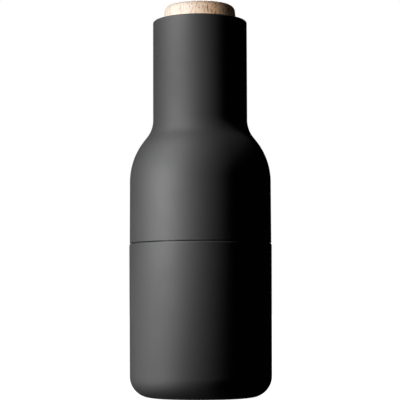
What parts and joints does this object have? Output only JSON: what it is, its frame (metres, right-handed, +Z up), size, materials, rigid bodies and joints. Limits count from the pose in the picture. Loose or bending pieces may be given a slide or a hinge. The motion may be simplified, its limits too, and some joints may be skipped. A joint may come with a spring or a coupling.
{
  "type": "pepper mill",
  "caption": "Bottle-shaped pepper mill with a soft matte body, a wooden lid and a ceramic mill in its neck; the lower half twists to grind.",
  "frame": {"origin": "centre of the foot pad's lower face, on the axis that the halves turn about", "axes": "+Z up along that axis, from the foot to the lid; the body is round, so X and Y have no preferred side"},
  "size_m": [0.0742, 0.0742, 0.205],
  "materials": {
    "soft_touch_shell": "soft-touch rubberised charcoal, matte",
    "beech_lid": "oiled beech, fine flecked grain",
    "foot_silicone": "matte silicone",
    "seal_silicone": "smooth silicone",
    "smoke_plastic": "satin smoke-grey moulding",
    "black_nylon": "fine-textured black moulding",
    "burr_ceramic": "unglazed white ceramic",
    "acetal_bush": "smooth natural acetal",
    "shaft_aluminium": "drawn hexagonal bar, satin",
    "spring_steel": "bright spring steel",
    "plated_steel": "zinc-plated steel"
  },
  "bodies": {
    "lower_half": {"lower_shell": "soft_touch_shell", "foot_pad": "foot_silicone", "reservoir_cup": "smoke_plastic", "drive_post": "black_nylon", "base_screw_1": "plated_steel", "base_screw_2": "plated_steel", "base_screw_3": "plated_steel"},
    "drive_train": {"drive_shaft": "shaft_aluminium", "shaft_clip": "spring_steel", "spring_seat": "plated_steel", "burr_spring": "spring_steel"},
    "upper_half": {"upper_shell": "soft_touch_shell", "coupling_collar": "smoke_plastic", "seal_ring": "seal_silicone", "mill_housing": "black_nylon", "outer_burr": "burr_ceramic", "bearing_bridge": "black_nylon", "shaft_bush": "acetal_bush", "thrust_washer": "plated_steel", "bridge_screw_1": "plated_steel", "bridge_screw_2": "plated_steel", "bridge_screw_3": "plated_steel"},
    "burr_carrier": {"inner_burr": "burr_ceramic", "adjust_washer": "plated_steel"},
    "dial": {"adjusting_dial": "black_nylon", "dial_nut": "plated_steel"},
    "lid": {"lid_cap": "beech_lid", "lid_plug": "black_nylon", "lid_seal": "seal_silicone", "lid_screw_1": "plated_steel", "lid_screw_2": "plated_steel", "lid_screw_3": "plated_steel"}
  },
  "joints": [
    {"name": "refill_lift", "type": "slide", "parent": "lower_half", "child": "drive_train", "axis": [0, 0, 1], "range_m": [0, 0.06]},
    {"name": "grind_twist", "type": "hinge", "parent": "drive_train", "child": "upper_half", "pos_m": [0, 0, 0.0798], "axis": [0, 0, 1], "continuous": true},
    {"name": "burr_gap", "type": "slide", "parent": "drive_train", "child": "burr_carrier", "axis": [0, 0, 1], "range_m": [-0.0006, 0.0006], "deforming": ["burr_spring"]},
    {"name": "grind_adjust", "type": "hinge", "parent": "burr_carrier", "child": "dial", "pos_m": [0, 0, 0.187], "axis": [0, 0, 1], "range_deg": [-270, 270]},
    {"name": "lid_lift", "type": "slide", "parent": "upper_half", "child": "lid", "axis": [0, 0, 1], "range_m": [0, 0.03]}
  ],
  "couplings": [
    {"joint": "grind_adjust", "follows": "burr_gap", "rad_per_m": 7854}
  ]
}
